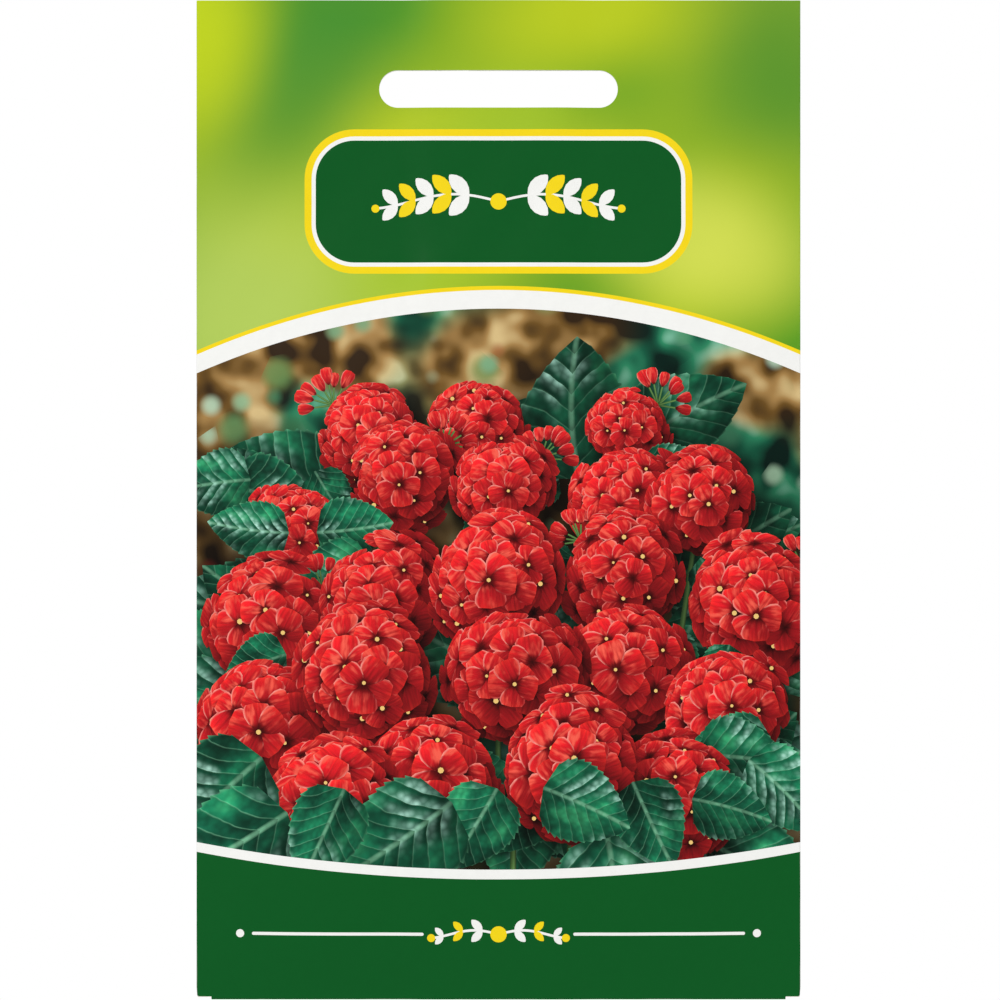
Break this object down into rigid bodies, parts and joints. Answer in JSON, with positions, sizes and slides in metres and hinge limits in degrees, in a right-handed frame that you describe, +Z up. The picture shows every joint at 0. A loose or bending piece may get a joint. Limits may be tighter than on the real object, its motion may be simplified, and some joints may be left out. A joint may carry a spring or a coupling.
{
  "type": "seed packet",
  "caption": "Flat printed paper seed packet with a lapped back seam, a bottom flap and a hang slot, holding a sealed film sachet of seed.",
  "frame": {"origin": "middle of the hang slot's upper wall, halfway through the paper layers, where a display hook carries the packet", "axes": "+Z up, towards the top edge; +X across the packet, to the right as seen from the printed front; the printed front faces -Y"},
  "size_m": [0.081, 0.0037, 0.134],
  "materials": {
    "printed_paper": "offset print with a semi-gloss varnish outside, bare white paper inside",
    "sachet_film": "metallised film, heat sealed on four sides",
    "seed_coat": "dry, matt, finely mottled brown seed coat"
  },
  "bodies": {
    "root": {"paper_packet": "printed_paper", "sachet_front_film": "sachet_film", "sachet_back_film": "sachet_film", "seed_01": "seed_coat", "seed_02": "seed_coat", "seed_03": "seed_coat", "seed_04": "seed_coat", "seed_05": "seed_coat", "seed_06": "seed_coat", "seed_07": "seed_coat", "seed_08": "seed_coat", "seed_09": "seed_coat", "seed_10": "seed_coat", "seed_11": "seed_coat", "seed_12": "seed_coat", "seed_13": "seed_coat", "seed_14": "seed_coat", "seed_15": "seed_coat", "seed_16": "seed_coat", "seed_17": "seed_coat", "seed_18": "seed_coat", "seed_19": "seed_coat", "seed_20": "seed_coat", "seed_21": "seed_coat", "seed_22": "seed_coat", "seed_23": "seed_coat", "seed_24": "seed_coat", "seed_25": "seed_coat", "seed_26": "seed_coat", "seed_27": "seed_coat", "seed_28": "seed_coat", "seed_29": "seed_coat", "seed_30": "seed_coat", "seed_31": "seed_coat", "seed_32": "seed_coat", "seed_33": "seed_coat", "seed_34": "seed_coat", "seed_35": "seed_coat", "seed_36": "seed_coat", "seed_37": "seed_coat", "seed_38": "seed_coat", "seed_39": "seed_coat", "seed_40": "seed_coat"}
  },
  "joints": []
}
